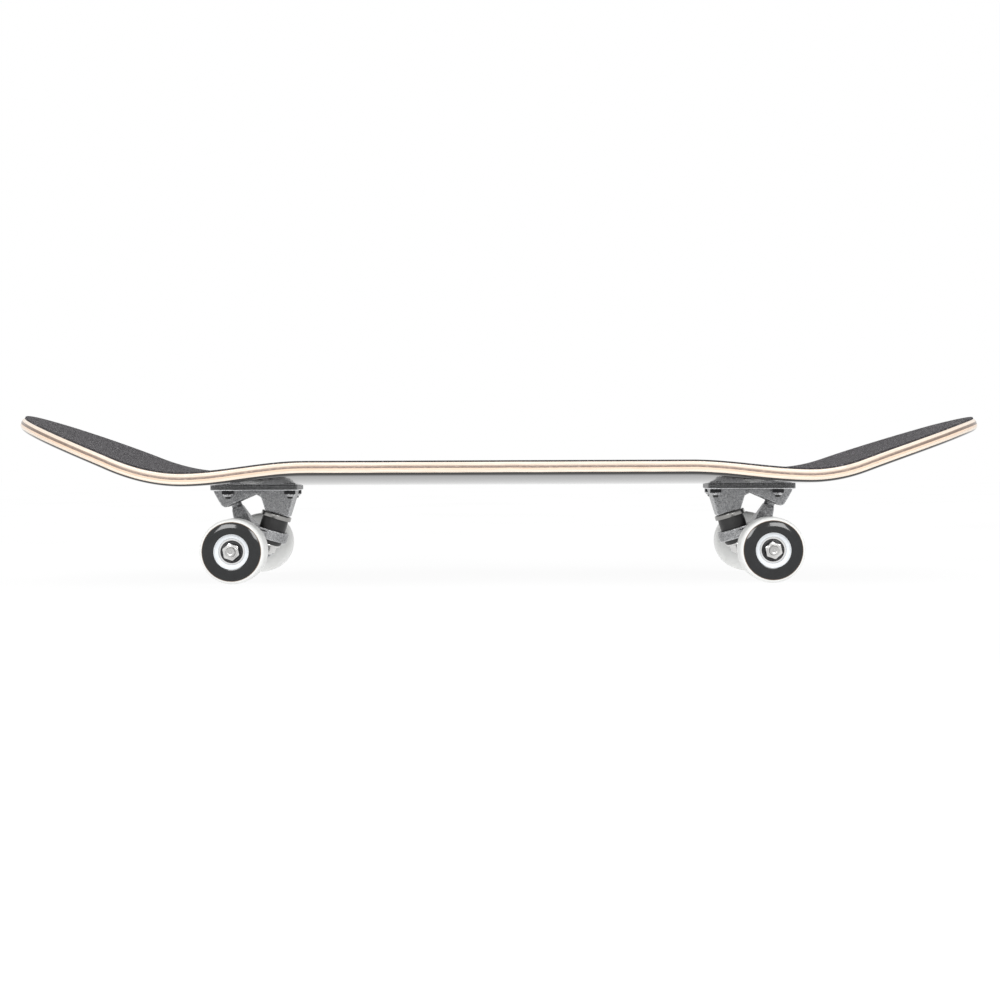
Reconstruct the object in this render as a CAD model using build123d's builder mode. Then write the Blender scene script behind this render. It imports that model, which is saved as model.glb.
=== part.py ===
from build123d import *
import math
import os

os.makedirs("parts", exist_ok=True)

# A street skateboard: a kicked, concave deck on two trucks with four wheels.
# The nose is at -X, the tail at +X, the floor is Z = 0 and the board is centred over the origin.

# Deck
deck_length = 834
deck_half_width = 107.4
deck_top_z = 91.4
deck_thickness = 10.6
grip_thickness = 1.15
grip_inset = 1
flat_half_width = 30
concave_rise = 9.4
concave_start_x = 159
half_blank = 115
kick_reach = 160
# Each end's kick: where it starts, its radius and angle, and how far its rails stay above its middle
kicks = {-1: (-259, 159, 22.3, 1.1), 1: (256.8, 132, 19.4, 2.6)}
nose_outline = (259.7, 2.46)
tail_outline = (194.7, 2.70)
outline_power = 1.95

# Truck mounting, measured outboard from the middle of the wheelbase
wheelbase_middle_x = 3.75
inner_bolt = 184.15
outer_bolt = inner_bolt + 53.975
spare_bolt = inner_bolt + 63.5
bolt_half_spacing = 41.275 / 2
bolt_radius = 2.4
bolt_hole_radius = 2.7
bolt_head_radius = 4.7
bolt_length = 22.6
bolt_head_edge = 0.35
bolt_recess_width = 1.1
bolt_recess_depth = 1.6
deck_nut_flats = 9.5
deck_nut_height = 5.2
deck_nut_collar = 1.3

# Baseplate
plate_thickness = 4.7
plate_inboard = 177.7
plate_outboard = 253.3
plate_half_width = 27.5
plate_corner_radius = 7
body_half_width = 16
body_low_half_width = 10
boss_x = 197
boss_swell = 1.5
body_end_reach = 24
body_middle_length = 50
# Side view of the body under the flange: the kingpin boss, the arch, then the pivot housing
body_side = ((179.2, 79.5), (187, 52.75), (207.2, 58.9), (210.5, 70.5), (216, 73),
             (242.2, 61.4), (244.8, 62.6), (252, 74.5), (252, 79.5))

# Kingpin and its stack; s is the distance down the kingpin axis from (kingpin_x, kingpin_z)
kingpin_x = 199
kingpin_z = 53.3
kingpin_tilt = 17.4
kingpin_radius = 4.76
kingpin_head_s = -19
kingpin_head_radius = 8
kingpin_head_height = 5.5
washer_sheet = 1.4
washer_top_s = -2.6
upper_washer_radius = 13.35
upper_washer_depth = 4.2
upper_bushing_top_s = washer_top_s + washer_sheet
ring_top_s = 11.9
ring_bottom_s = 20.7
seat_depth = 2.5
lower_washer_s = 24.4
lower_washer_radius = 10.6
lower_washer_depth = 1.6
kingpin_nut_s = lower_washer_s + lower_washer_depth
kingpin_end_s = 34.4
kingpin_nut_flats = 14.3
kingpin_nut_height = 7.6
kingpin_nut_collar = 1.8
ring_radius = 15.3
ring_hole_radius = 7
bushing_radius = 11.8
web_half_width = 30
# Room in the hanger round the lower bushing and washer, then round the nut
stack_room_half_width = 16
stack_room_reach = 12.2
stack_room_end_s = 27.2
nut_room_half_width = 14
nut_room_reach = 9

# Pivot, where the hanger's stub sits in the baseplate's cup
pivot_x = 236
pivot_z = 69
pivot_lean = 22.8
pivot_ball_radius = 5.2
pivot_clearance = 0.08
pivot_cup_radius = 7.75
pivot_cup_top = 7.4
pivot_cup_mouth = -4.6
pivot_cup_lip = 1.4
# Pivot arm sections: distance from the pivot's centre, length and width
pivot_arm = ((-44, 19, 60), (-30, 17, 31), (-17, 13, 15), (-8, 9.4, 10))

# Axle, wheel and bearings
axle_x = 222.5
wheel_radius = 27
axle_radius = 3.97
axle_half_length = 108
hanger_half_length = 73.2
# Radius of the axle housing at each distance from the truck's middle
housing = ((0, 12.6), (17, 12.2), (42, 10.2), (66, 9.6), (70, 9.2), (hanger_half_length, 7.6))
wheel_half_width = 16
wheel_y = 86.2
tread_half_width = 10
bearing_outer_radius = 11
bearing_bore_radius = 4
bearing_width = 7
bearing_offset = 8.5
ball_radius = 1.98
ball_pitch_radius = 7.5
ball_count = 7
race_groove_radius = 2.06
inner_race_radius = 6.05
outer_race_inner_radius = 8.95
shield_inner_radius = 6.4
shield_outer_radius = 9.4
axle_nut_flats = 12.7
axle_nut_height = 6.2
axle_nut_collar = 1.5
axle_nut_turn = 11
speed_washer_radius = 5.6
speed_washer_thickness = 0.95

deck_underside_z = deck_top_z - deck_thickness
plate_underside_z = deck_underside_z - plate_thickness
bearing_gap = 2 * bearing_offset - bearing_width
wheel_inner_stack = bearing_offset + bearing_width / 2
ends = {"nose": 180, "tail": 0}
sides = {"left": -1, "right": 1}


def write(part, label):
    """Names one finished piece and writes it to its own file."""
    part.label = label
    export_step(part, f"parts/{label}.step")


def write_at_end(piece, end, name):
    """Writes a piece drawn for the tail truck, turned round to the end of the board it belongs to."""
    with BuildPart() as placed:
        with Locations(Location((wheelbase_middle_x, 0, 0), (0, 0, ends[end]))):
            add(piece)
    write(placed.part, f"{end}_{name}")


def kingpin_plane(s):
    """Plane square to the kingpin, s down its axis, with local X pointing outboard."""
    tilt = math.radians(kingpin_tilt)
    origin = (kingpin_x + s * math.sin(tilt), 0, kingpin_z - s * math.cos(tilt))
    return Plane(origin, x_dir=(math.cos(tilt), 0, math.sin(tilt)), z_dir=(math.sin(tilt), 0, -math.cos(tilt)))


def pivot_plane(distance):
    """Plane square to the hanger's pivot stub, at a distance up it from the pivot's centre."""
    lean = math.radians(pivot_lean)
    up = (math.sin(lean), 0, math.cos(lean))
    origin = (pivot_x + distance * up[0], 0, pivot_z + distance * up[2])
    return Plane(origin, x_dir=(math.cos(lean), 0, -math.sin(lean)), z_dir=up)


# ---------------------------------------------------------------- deck and grip tape

def rail_rise(x):
    """Height of the rail over the middle of the deck at x: full between the trucks, little at the kicks."""
    kick_x, radius, angle, kick_rise = kicks[-1 if x < 0 else 1]
    t = min(max((abs(kick_x) - abs(x)) / (abs(kick_x) - concave_start_x), 0), 1)
    return kick_rise + (concave_rise - kick_rise) * t * t * (3 - 2 * t)


def kick_arc_point(kick_x, radius, angle, height):
    """Point on a layer's kick arc, at an angle round from where the flat ends."""
    turn = math.radians(angle)
    reach = (radius - height) * math.sin(turn)
    return kick_x + math.copysign(reach, kick_x), deck_top_z + radius - (radius - height) * math.cos(turn)


def kick_plane(sign, angle):
    """Plane square to the board at an angle round one end's kick, facing that end's tip."""
    kick_x, radius = kicks[sign][:2]
    x, z = kick_arc_point(kick_x, radius, angle, 0)
    turn = math.radians(angle)
    return Plane((x, 0, z), x_dir=(0, sign, 0), z_dir=(sign * math.cos(turn), 0, math.sin(turn)))


def layer_line(height):
    """Side view of the surface at a height over the wood's top face, from nose to tail; returns its ends."""
    tips = []
    for kick_x, radius, angle, kick_rise in kicks.values():
        start = kick_arc_point(kick_x, radius, 0, height)
        middle = kick_arc_point(kick_x, radius, angle / 2, height)
        end = kick_arc_point(kick_x, radius, angle, height)
        slope = math.radians(angle)
        run = math.copysign(kick_reach * math.cos(slope), kick_x)
        tip = (end[0] + run, end[1] + kick_reach * math.sin(slope))
        ThreePointArc(start, middle, end)
        Line(end, tip)
        tips.append(tip)
    z = deck_top_z + height
    Line((kicks[-1][0], z), (kicks[1][0], z))
    return tips


def side_profile(low, high):
    """Side view of a layer of the board, from low to high over the wood's top face."""
    with BuildSketch(Plane.XZ) as profile:
        with BuildLine():
            low_tips = layer_line(low)
            high_tips = layer_line(high)
            Line(low_tips[0], high_tips[0])
            Line(low_tips[1], high_tips[1])
        make_face()
    return profile.sketch


def rail_section(plane, rise, side, low, high):
    """Section of a layer's raised rail on a plane: each face is a parabola that leaves the flat level."""
    width = half_blank
    end_rise = rise * ((width - flat_half_width) / (deck_half_width - flat_half_width)) ** 2
    middle = (flat_half_width + width) / 2
    with BuildSketch(plane) as section:
        with BuildLine():
            Bezier((side * flat_half_width, low), (side * middle, low), (side * width, low + end_rise))
            Bezier((side * flat_half_width, high), (side * middle, high), (side * width, high + end_rise))
            Line((side * flat_half_width, low), (side * flat_half_width, high))
            Line((side * width, low + end_rise), (side * width, high + end_rise))
        make_face()
    return section.sketch


def end_outline(sign, start, power, inset):
    """Half outline of one end in plan, from the straight rail round to the tip."""
    steps = 9
    points = []
    for i in range(steps + 1):
        turn = math.radians(90 * i / steps)
        t = math.sin(turn) ** (2 / power)
        width = (deck_half_width - inset) * (1 - t ** power) ** (1 / outline_power)
        points.append((sign * (start + (deck_length / 2 - inset - start) * t), width))
    return points


def outline(inset):
    """The board's outline in plan, drawn in by an inset."""
    nose = end_outline(-1, *nose_outline, inset)
    tail = end_outline(1, *tail_outline, inset)
    with BuildSketch(Plane.XY) as plan:
        with BuildLine():
            Spline(nose, tangents=[(-1, 0), (0, -1)])
            Line(nose[0], tail[0])
            Spline(tail, tangents=[(1, 0), (0, -1)])
            mirror(about=Plane.XZ)
        make_face()
    return plan.sketch


def rail_at(x, side, low, high):
    """Section of a layer's rail at x, between the kicks."""
    plane = Plane((x, 0, deck_top_z), x_dir=(0, 1, 0), z_dir=(1, 0, 0))
    return rail_section(plane, rail_rise(x), side, low, high)


def board_layer(low, high, inset):
    """A pressed layer of the board: a flat middle strip, raised rails and kicked ends, cut to outline."""
    fade_steps = 6
    with BuildPart() as layer:
        extrude(side_profile(low, high), amount=flat_half_width, both=True)
        for side in (-1, 1):
            loft([rail_at(-concave_start_x, side, low, high), rail_at(concave_start_x, side, low, high)])
            for sign, (kick_x, radius, angle, kick_rise) in kicks.items():
                start = sign * concave_start_x
                stations = [start + (kick_x - start) * i / fade_steps for i in range(fade_steps + 1)]
                loft([rail_at(x, side, low, high) for x in stations])
                axis = Axis((kick_x, 0, deck_top_z + radius), (0, -sign, 0))
                revolve(rail_section(kick_plane(sign, 0), kick_rise, side, low, high), axis, angle)
                extrude(rail_section(kick_plane(sign, angle), kick_rise, side, low, high), kick_reach)
        extrude(outline(inset), amount=200, mode=Mode.INTERSECT)
    return layer.part


def bolt_spots():
    """Where the eight truck bolts stand, in the board's frame."""
    spots = []
    for direction in (-1, 1):
        for distance in (inner_bolt, outer_bolt):
            for side in (-1, 1):
                spots.append((wheelbase_middle_x + direction * distance, side * bolt_half_spacing))
    return spots


with BuildPart() as deck:
    add(board_layer(-deck_thickness, 0, 0))
    with Locations([(x, y, deck_top_z) for x, y in bolt_spots()]):
        CounterSinkHole(radius=bolt_hole_radius, counter_sink_radius=bolt_head_radius + 0.3)
write(deck.part, "deck")

with BuildPart() as grip_tape:
    add(board_layer(0, grip_thickness, grip_inset))
    with Locations([(x, y, deck_top_z) for x, y in bolt_spots()]):
        Cylinder(bolt_head_radius + 0.3, 10, mode=Mode.SUBTRACT)
write(grip_tape.part, "grip_tape")


# ---------------------------------------------------------------- fasteners

def hex_nut(flats, height, bore, collar=0):
    """A hexagon nut on Z = 0 with chamfered corners, and a round locking collar on top if it has one."""
    with BuildPart() as nut:
        with BuildSketch():
            RegularPolygon(flats / 2, 6, major_radius=False)
        extrude(amount=height)
        with BuildSketch(Plane.XZ):
            with BuildLine():
                corner = flats / math.sqrt(3) + 0.05
                shoulder = flats / 2 * 0.98
                Polyline((0, 0), (shoulder, 0), (corner, 0.6), (corner, height - 0.6), (shoulder, height),
                         (0, height), close=True)
            make_face()
        revolve(axis=Axis.Z, mode=Mode.INTERSECT)
        if collar:
            with Locations((0, 0, height)):
                Cylinder(flats * 0.43, collar, align=(Align.CENTER, Align.CENTER, Align.MIN))
        Hole(bore)
    return nut.part


def truck_bolt_spots(z):
    """Where one truck's four bolts stand, in the truck's frame."""
    return [(x, side * bolt_half_spacing, z) for x in (inner_bolt, outer_bolt) for side in (-1, 1)]


def deck_bolts():
    """Four countersunk machine bolts with cross recesses, their heads level with the grip tape."""
    top = deck_top_z + 0.3
    neck = top - bolt_head_edge - bolt_head_radius + bolt_radius
    end = top - bolt_length
    with BuildPart() as bolt:
        with BuildSketch(Plane.XZ):
            with BuildLine():
                Polyline((0, top), (bolt_head_radius, top), (bolt_head_radius, top - bolt_head_edge),
                         (bolt_radius, neck), (bolt_radius, end + 0.5), (bolt_radius - 0.5, end), (0, end),
                         close=True)
            make_face()
        revolve(axis=Axis.Z)
        with BuildSketch(Plane.XY.offset(top)):
            Rectangle(bolt_head_radius, bolt_recess_width)
            Rectangle(bolt_recess_width, bolt_head_radius)
        extrude(amount=-bolt_recess_depth, mode=Mode.SUBTRACT)
    with BuildPart() as bolts:
        with Locations([(x, y, 0) for x, y, z in truck_bolt_spots(0)]):
            add(bolt.part)
    return bolts.part


def deck_nuts():
    """Four lock nuts up against the underside of the baseplate."""
    height = deck_nut_height - deck_nut_collar
    nut = hex_nut(deck_nut_flats, height, bolt_radius + 0.05, deck_nut_collar)
    with BuildPart() as nuts:
        with Locations([Location(spot, (180, 0, 0)) for spot in truck_bolt_spots(plate_underside_z)]):
            add(nut)
    return nuts.part


# ---------------------------------------------------------------- baseplate

def baseplate():
    """Cast baseplate: a flange, the kingpin boss inboard, the pivot housing outboard, an arch between."""
    length = plate_outboard - plate_inboard
    with BuildPart() as plate:
        with BuildSketch(Plane.XZ):
            with BuildLine():
                Polyline(*body_side, close=True)
            make_face()
        extrude(amount=body_half_width, both=True)
        with BuildSketch(Plane.YZ.offset(plate_inboard)):
            with BuildLine():
                low_z = min(z for x, z in body_side)
                Polyline((-body_half_width, deck_underside_z), (body_half_width, deck_underside_z),
                         (body_low_half_width, low_z), (-body_low_half_width, low_z), close=True)
            make_face()
        extrude(amount=length, mode=Mode.INTERSECT)
        with BuildSketch(Plane.XY.offset(plate_underside_z - 40)):
            with Locations((boss_x, 0)):
                Ellipse(body_end_reach, body_half_width + boss_swell)
            with Locations((pivot_x - 2, 0)):
                Ellipse(body_end_reach, body_half_width)
            with Locations(((plate_inboard + plate_outboard) / 2, 0)):
                Rectangle(body_middle_length, body_half_width * 1.6)
        extrude(amount=60, mode=Mode.INTERSECT)
        with BuildSketch(Plane.XY.offset(plate_underside_z)):
            with Locations(((plate_inboard + plate_outboard) / 2, 0)):
                RectangleRounded(length, 2 * plate_half_width, plate_corner_radius)
        extrude(amount=plate_thickness)
        with BuildSketch(kingpin_plane(-40)):
            Circle(kingpin_radius + 0.02)
        extrude(amount=60, mode=Mode.SUBTRACT)
        with BuildSketch(kingpin_plane(kingpin_head_s)):
            Circle(kingpin_head_radius + 1)
        extrude(amount=-25, mode=Mode.SUBTRACT)
        with BuildSketch(pivot_plane(-12)):
            Circle(pivot_cup_radius)
        extrude(amount=12 + pivot_cup_top, mode=Mode.SUBTRACT)
        with Locations([(x, side * bolt_half_spacing, plate_underside_z)
                        for x in (inner_bolt, outer_bolt, spare_bolt) for side in (-1, 1)]):
            Cylinder(bolt_hole_radius, 3 * plate_thickness, mode=Mode.SUBTRACT)
    return plate.part


def pivot_cup():
    """Moulded cup that lines the pivot housing, with a ball seat and a flared mouth."""
    with BuildPart() as cup:
        with BuildSketch(pivot_plane(pivot_cup_mouth)):
            Circle(pivot_cup_radius)
        extrude(amount=pivot_cup_top - pivot_cup_mouth)
        with Locations(pivot_plane(0).location):
            Sphere(pivot_ball_radius + pivot_clearance, mode=Mode.SUBTRACT)
        with BuildSketch(pivot_plane(pivot_cup_mouth - 0.1)):
            Circle(pivot_cup_radius - pivot_cup_lip)
        with BuildSketch(pivot_plane(-1)):
            Circle(pivot_ball_radius - 0.2)
        loft(mode=Mode.SUBTRACT)
    return cup.part


# ---------------------------------------------------------------- kingpin stack

def kingpin():
    """Kingpin bolt: a hexagon head sunk into the top of the baseplate and a plain shank."""
    with BuildPart() as pin:
        with BuildSketch(kingpin_plane(kingpin_head_s)):
            RegularPolygon(kingpin_head_radius, 6)
        extrude(amount=-kingpin_head_height)
        with BuildSketch(kingpin_plane(kingpin_head_s)):
            Circle(kingpin_radius)
        extrude(amount=kingpin_end_s - kingpin_head_s)
        chamfer(pin.edges().filter_by(GeomType.CIRCLE).sort_by(Axis.Z)[0], 0.8)
    return pin.part


def cup_washer(top_s, radius, depth):
    """Pressed washer whose rim is turned down, round the end of a bushing."""
    with BuildPart() as washer:
        with BuildSketch(kingpin_plane(top_s)):
            Circle(radius)
        extrude(amount=depth)
        with BuildSketch(kingpin_plane(top_s + washer_sheet)):
            Circle(radius - washer_sheet)
        extrude(amount=depth - washer_sheet, mode=Mode.SUBTRACT)
        with BuildSketch(kingpin_plane(top_s)):
            Circle(kingpin_radius + 0.15)
        extrude(amount=depth, mode=Mode.SUBTRACT)
        outer = washer.edges().filter_by(GeomType.CIRCLE).group_by(SortBy.RADIUS)[-1]
        fillet(outer, 0.5)
    return washer.part


def upper_bushing():
    """Barrel bushing between the baseplate's washer and the hanger's upper seat."""
    length = ring_top_s + seat_depth - upper_bushing_top_s
    return barrel(upper_bushing_top_s, length, bushing_radius - 0.6, bushing_radius - 0.6, 0.6)


def lower_bushing():
    """Short, slightly conical bushing between the hanger's lower seat and the lower washer."""
    top = ring_bottom_s - seat_depth
    return barrel(top, lower_washer_s - top, bushing_radius, bushing_radius - 1, 0.4)


def barrel(top_s, length, top_radius, bottom_radius, bulge):
    """A round bushing on the kingpin axis whose side swells between its two ends."""
    middle_radius = (top_radius + bottom_radius) / 2 + bulge
    plane = kingpin_plane(top_s)
    section = Plane(plane.origin, x_dir=plane.x_dir, z_dir=(0, -1, 0))
    with BuildPart() as bushing:
        with BuildSketch(section):
            with BuildLine():
                inner = kingpin_radius + 0.2
                ThreePointArc((top_radius, 0), (middle_radius, -length / 2), (bottom_radius, -length))
                Polyline((bottom_radius, -length), (inner, -length), (inner, 0), (top_radius, 0))
            make_face()
        revolve(axis=Axis(plane.origin, plane.z_dir))
    return bushing.part


def kingpin_nut():
    """Lock nut that holds the stack and sets how stiffly the truck turns."""
    height = kingpin_nut_height - kingpin_nut_collar
    nut = hex_nut(kingpin_nut_flats, height, kingpin_radius + 0.03, kingpin_nut_collar)
    with BuildPart() as placed:
        with Locations(kingpin_plane(kingpin_nut_s).location):
            add(nut)
    return placed.part


# ---------------------------------------------------------------- hanger and axle

def hanger():
    """Cast hanger: the axle housing, the bushing ring inboard, the pivot stub up to its cup, and webs."""
    with BuildPart() as casting:
        with BuildSketch(Plane((axle_x, 0, wheel_radius), x_dir=(0, 1, 0), z_dir=(1, 0, 0))):
            with BuildLine():
                Polyline([(-y, r) for y, r in reversed(housing[1:])] + list(housing))
                Line((hanger_half_length, housing[-1][1]), (hanger_half_length, 0))
                Line((hanger_half_length, 0), (-hanger_half_length, 0))
                Line((-hanger_half_length, 0), (-hanger_half_length, housing[-1][1]))
            make_face()
        revolve(axis=Axis((axle_x, 0, wheel_radius), (0, 1, 0)))
        with BuildSketch(kingpin_plane(ring_top_s)):
            Circle(ring_radius)
            with Locations((ring_radius / 2 + 3, 0)):
                Rectangle(ring_radius, 2 * ring_radius)
        extrude(amount=ring_bottom_s - ring_top_s)
        with BuildSketch(kingpin_plane(ring_top_s + 2.2)):
            with BuildLine():
                Polyline((0, ring_radius - 1), (16, web_half_width), (24, web_half_width - 4),
                         (24, 4 - web_half_width), (16, -web_half_width), (0, 1 - ring_radius), close=True)
            make_face()
        extrude(amount=ring_bottom_s - ring_top_s - 3)
        for distance, arm_length, arm_width in pivot_arm:
            with BuildSketch(pivot_plane(distance)):
                Rectangle(arm_length, arm_width)
        loft(ruled=True)
        with BuildSketch(pivot_plane(-9)):
            Circle(4.8)
        with BuildSketch(pivot_plane(-2)):
            Circle(4.5)
        loft()
        with Locations(pivot_plane(0).location):
            Sphere(pivot_ball_radius)
        with BuildSketch(kingpin_plane(-20)):
            Circle(ring_radius)
        extrude(amount=20 + ring_top_s, mode=Mode.SUBTRACT)
        for seat_s, depth in ((ring_top_s, seat_depth), (ring_bottom_s, -seat_depth)):
            with BuildSketch(kingpin_plane(seat_s)):
                Circle(bushing_radius + 0.4)
            extrude(amount=depth, mode=Mode.SUBTRACT)
        with BuildSketch(kingpin_plane(ring_top_s - 1)):
            Circle(ring_hole_radius)
        extrude(amount=40, mode=Mode.SUBTRACT)
        with BuildSketch(kingpin_plane(ring_bottom_s)):
            with Locations((stack_room_reach, 0)):
                Rectangle(60, 2 * stack_room_half_width, align=(Align.MAX, Align.CENTER))
        extrude(amount=stack_room_end_s - ring_bottom_s, mode=Mode.SUBTRACT)
        with BuildSketch(kingpin_plane(stack_room_end_s - 0.1)):
            with Locations((nut_room_reach, 0)):
                Rectangle(60, 2 * nut_room_half_width, align=(Align.MAX, Align.CENTER))
        extrude(amount=30, mode=Mode.SUBTRACT)
        with Locations(Location((axle_x, 0, wheel_radius), (90, 0, 0))):
            Cylinder(axle_radius + 0.02, 200, mode=Mode.SUBTRACT)
    return casting.part


def along_axle(y):
    """Location on the axle at y, with local Z pointing away from the truck's middle."""
    return Location((axle_x, y, wheel_radius), (-90 if y > 0 else 90, 0, 0))


def axle():
    """Straight steel axle with chamfered ends, right through the hanger."""
    with BuildPart() as rod:
        with Locations(Location((axle_x, 0, wheel_radius), (90, 0, 0))):
            Cylinder(axle_radius, 2 * axle_half_length)
        chamfer(rod.edges().filter_by(GeomType.CIRCLE), 0.7)
    return rod.part


def ring_at(y, inner, outer, length):
    """A plain round ring on the axle, starting at y and running outwards."""
    with BuildPart() as ring:
        with BuildSketch():
            Circle(outer)
            Circle(inner, mode=Mode.SUBTRACT)
        extrude(amount=length)
    with BuildPart() as placed:
        with Locations(along_axle(y)):
            add(ring.part)
    return placed.part


def axle_nuts():
    """Two lock nuts that hold the wheels on."""
    height = axle_nut_height - axle_nut_collar
    nut = hex_nut(axle_nut_flats, height, axle_radius + 0.03, axle_nut_collar)
    with BuildPart() as nuts:
        for side in sides.values():
            with Locations(along_axle(side * (wheel_y + wheel_inner_stack + speed_washer_thickness))):
                with Locations(Location((0, 0, 0), (0, 0, axle_nut_turn))):
                    add(nut)
    return nuts.part


def speed_washers():
    """Four thin washers, one each side of every wheel's pair of bearings."""
    with BuildPart() as washers:
        for side in sides.values():
            for y in (wheel_y - wheel_inner_stack - speed_washer_thickness, wheel_y + wheel_inner_stack):
                add(ring_at(side * y, axle_radius + 0.1, speed_washer_radius, speed_washer_thickness))
    return washers.part


def bearing_spacers():
    """Two tubes that keep each wheel's inner races apart."""
    with BuildPart() as spacers:
        for side in sides.values():
            add(ring_at(side * (wheel_y - bearing_gap / 2), axle_radius + 0.1, 5.4, bearing_gap))
    return spacers.part


# ---------------------------------------------------------------- bearings and wheels

def race(inner, outer, step_radius=None):
    """One bearing race about the origin, axis Z, with its ball groove; step_radius opens its ends for shields."""
    half = bearing_width / 2
    shoulder = half - 0.65
    bevel = 0.3
    with BuildPart() as ring:
        with BuildSketch(Plane.XZ):
            with BuildLine():
                if step_radius:
                    Polyline((inner, -shoulder), (step_radius, -shoulder), (step_radius, -half),
                             (outer - bevel, -half), (outer, bevel - half), (outer, half - bevel),
                             (outer - bevel, half), (step_radius, half), (step_radius, shoulder),
                             (inner, shoulder), close=True)
                else:
                    Polyline((inner, bevel - half), (inner + bevel, -half), (outer, -half), (outer, half),
                             (inner + bevel, half), (inner, half - bevel), close=True)
            make_face()
            with Locations((ball_pitch_radius, 0)):
                Circle(race_groove_radius, mode=Mode.SUBTRACT)
        revolve(axis=Axis.Z)
    return ring.part


def bearing_cage():
    """Crown cage that keeps the balls evenly spaced."""
    with BuildPart() as cage:
        with BuildSketch(Plane.XY.offset(-2.6)):
            Circle(8.4)
            Circle(6.6, mode=Mode.SUBTRACT)
        extrude(amount=3.4)
        with PolarLocations(ball_pitch_radius, ball_count):
            Sphere(race_groove_radius + 0.04, mode=Mode.SUBTRACT)
    return cage.part


def bearing_balls():
    """The balls of one bearing."""
    with BuildPart() as balls:
        with PolarLocations(ball_pitch_radius, ball_count):
            Sphere(ball_radius)
    return balls.part


def bearing_shields():
    """The two pressed shields of one bearing, let into the outer race."""
    with BuildPart() as shields:
        for z in (bearing_width / 2 - 0.55, 0.15 - bearing_width / 2):
            with BuildSketch(Plane.XY.offset(z)):
                Circle(shield_outer_radius)
                Circle(shield_inner_radius, mode=Mode.SUBTRACT)
            extrude(amount=0.4)
    return shields.part


def at_bearings(piece, wheel_sides):
    """Copies of one bearing's piece at both bearings of each wheel."""
    with BuildPart() as copies:
        for side in wheel_sides:
            for offset_y in (-bearing_offset, bearing_offset):
                with Locations(along_axle(side * (wheel_y + offset_y))):
                    add(piece)
    return copies.part


def wheel(side):
    """Cast urethane wheel: a flat tread, rounded lips, side walls and a bearing seat each side of a web."""
    seat_start = bearing_gap / 2
    with BuildPart() as tyre:
        with BuildSketch(Plane.XZ):
            for end in (-1, 1):
                with BuildLine():
                    Line((8.7, 0), (8.7, end * seat_start))
                    Line((8.7, end * seat_start), (bearing_outer_radius, end * seat_start))
                    Line((bearing_outer_radius, end * seat_start), (bearing_outer_radius, end * 12.6))
                    Line((bearing_outer_radius, end * 12.6), (13.6, end * 14.6))
                    Line((13.6, end * 14.6), (15.2, end * wheel_half_width))
                    Line((15.2, end * wheel_half_width), (20.5, end * wheel_half_width))
                    ThreePointArc((20.5, end * wheel_half_width), (25.1, end * 14.1),
                                  (wheel_radius, end * tread_half_width))
                    Line((wheel_radius, end * tread_half_width), (wheel_radius, 0))
                    Line((wheel_radius, 0), (8.7, 0))
                make_face()
        revolve(axis=Axis.Z)
    with BuildPart() as placed:
        with Locations(along_axle(side * wheel_y)):
            add(tyre.part)
    return placed.part


one_per_truck = {
    "baseplate": baseplate(),
    "pivot_cup": pivot_cup(),
    "deck_bolts": deck_bolts(),
    "deck_nuts": deck_nuts(),
    "kingpin": kingpin(),
    "upper_washer": cup_washer(washer_top_s, upper_washer_radius, upper_washer_depth),
    "upper_bushing": upper_bushing(),
    "lower_bushing": lower_bushing(),
    "lower_washer": cup_washer(lower_washer_s, lower_washer_radius, lower_washer_depth),
    "kingpin_nut": kingpin_nut(),
    "hanger": hanger(),
    "axle": axle(),
    "axle_nuts": axle_nuts(),
    "speed_washers": speed_washers(),
    "bearing_spacers": bearing_spacers(),
    "inner_races": at_bearings(race(bearing_bore_radius, inner_race_radius), sides.values()),
}
outer_race = race(outer_race_inner_radius, bearing_outer_radius, shield_outer_radius)

for end in ends:
    for name, piece in one_per_truck.items():
        write_at_end(piece, end, name)
    for side_name, side in sides.items():
        truck_side = -side if end == "nose" else side
        write_at_end(wheel(truck_side), end, f"{side_name}_wheel")
        write_at_end(at_bearings(outer_race, [truck_side]), end, f"{side_name}_outer_races")
        write_at_end(at_bearings(bearing_shields(), [truck_side]), end, f"{side_name}_shields")
        write_at_end(at_bearings(bearing_cage(), [truck_side]), end, f"{side_name}_cages")
        write_at_end(at_bearings(bearing_balls(), [truck_side]), end, f"{side_name}_balls")
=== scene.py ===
import math

import bmesh
import bpy
from mathutils import Matrix, Vector


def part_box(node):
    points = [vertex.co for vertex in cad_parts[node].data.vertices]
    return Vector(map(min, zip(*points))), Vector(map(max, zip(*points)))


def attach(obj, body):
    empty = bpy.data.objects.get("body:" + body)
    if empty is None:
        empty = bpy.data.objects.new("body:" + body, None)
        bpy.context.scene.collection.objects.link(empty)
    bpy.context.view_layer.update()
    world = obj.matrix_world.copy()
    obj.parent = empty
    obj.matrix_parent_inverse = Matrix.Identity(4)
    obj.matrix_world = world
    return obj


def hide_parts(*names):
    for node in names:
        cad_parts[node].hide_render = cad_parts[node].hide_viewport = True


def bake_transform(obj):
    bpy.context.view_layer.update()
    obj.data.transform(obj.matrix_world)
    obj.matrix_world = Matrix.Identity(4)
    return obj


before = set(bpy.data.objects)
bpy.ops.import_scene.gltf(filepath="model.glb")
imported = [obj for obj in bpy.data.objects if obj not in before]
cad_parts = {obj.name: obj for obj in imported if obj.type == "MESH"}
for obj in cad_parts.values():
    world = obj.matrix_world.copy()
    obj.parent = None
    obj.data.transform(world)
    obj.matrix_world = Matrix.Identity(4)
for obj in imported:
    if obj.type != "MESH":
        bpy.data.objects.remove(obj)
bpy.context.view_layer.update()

MM = 0.001
ENDS = {"nose": -1, "tail": 1}
SIDES = {"left": -1, "right": 1}


# ---------------------------------------------------------------- places read from the frame

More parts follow.
